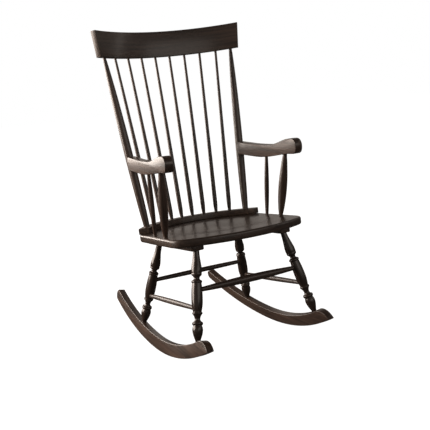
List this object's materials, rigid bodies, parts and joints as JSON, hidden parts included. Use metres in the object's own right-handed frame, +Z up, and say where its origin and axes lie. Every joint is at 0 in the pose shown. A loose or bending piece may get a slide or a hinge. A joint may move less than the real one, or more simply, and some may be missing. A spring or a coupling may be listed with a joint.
{
  "type": "rocking chair",
  "caption": "Wooden rocking chair with a tall fanned spindle back, a bowed crest rail, scrolled arms, a saddled seat, turned legs and curved rockers.",
  "frame": {"origin": "on the floor, under the middle of the chair's overall width and depth", "axes": "+Z up, the chair faces -Y, +X toward the sitter's left; at rest, balanced on its rockers"},
  "size_m": [0.611, 0.8292, 1.1433],
  "materials": {
    "lacquered_wood": "dark espresso stain under a satin lacquer",
    "plug_wood": "dark espresso stain under a satin lacquer, end grain",
    "screw_steel": "zinc plated"
  },
  "bodies": {
    "root": {"arm_screw_plugs": "plug_wood", "arm_screws": "screw_steel", "back_spindle_1": "lacquered_wood", "back_spindle_2": "lacquered_wood", "back_spindle_3": "lacquered_wood", "back_spindle_4": "lacquered_wood", "back_spindle_5": "lacquered_wood", "back_spindle_6": "lacquered_wood", "back_spindle_7": "lacquered_wood", "back_spindle_8": "lacquered_wood", "cleat_screws": "screw_steel", "crest_rail": "lacquered_wood", "crest_screws": "screw_steel", "front_stretcher": "lacquered_wood", "left_arm": "lacquered_wood", "left_arm_post": "lacquered_wood", "left_arm_spindle": "lacquered_wood", "left_back_post": "lacquered_wood", "left_cleat": "lacquered_wood", "left_front_leg": "lacquered_wood", "left_rear_leg": "lacquered_wood", "left_rocker": "lacquered_wood", "left_side_stretcher": "lacquered_wood", "rear_stretcher": "lacquered_wood", "right_arm": "lacquered_wood", "right_arm_post": "lacquered_wood", "right_arm_spindle": "lacquered_wood", "right_back_post": "lacquered_wood", "right_cleat": "lacquered_wood", "right_front_leg": "lacquered_wood", "right_rear_leg": "lacquered_wood", "right_rocker": "lacquered_wood", "right_side_stretcher": "lacquered_wood", "riser_screws": "screw_steel", "rocker_plugs": "plug_wood", "rocker_screws": "screw_steel", "seat": "lacquered_wood", "seat_riser": "lacquered_wood"}
  },
  "joints": []
}
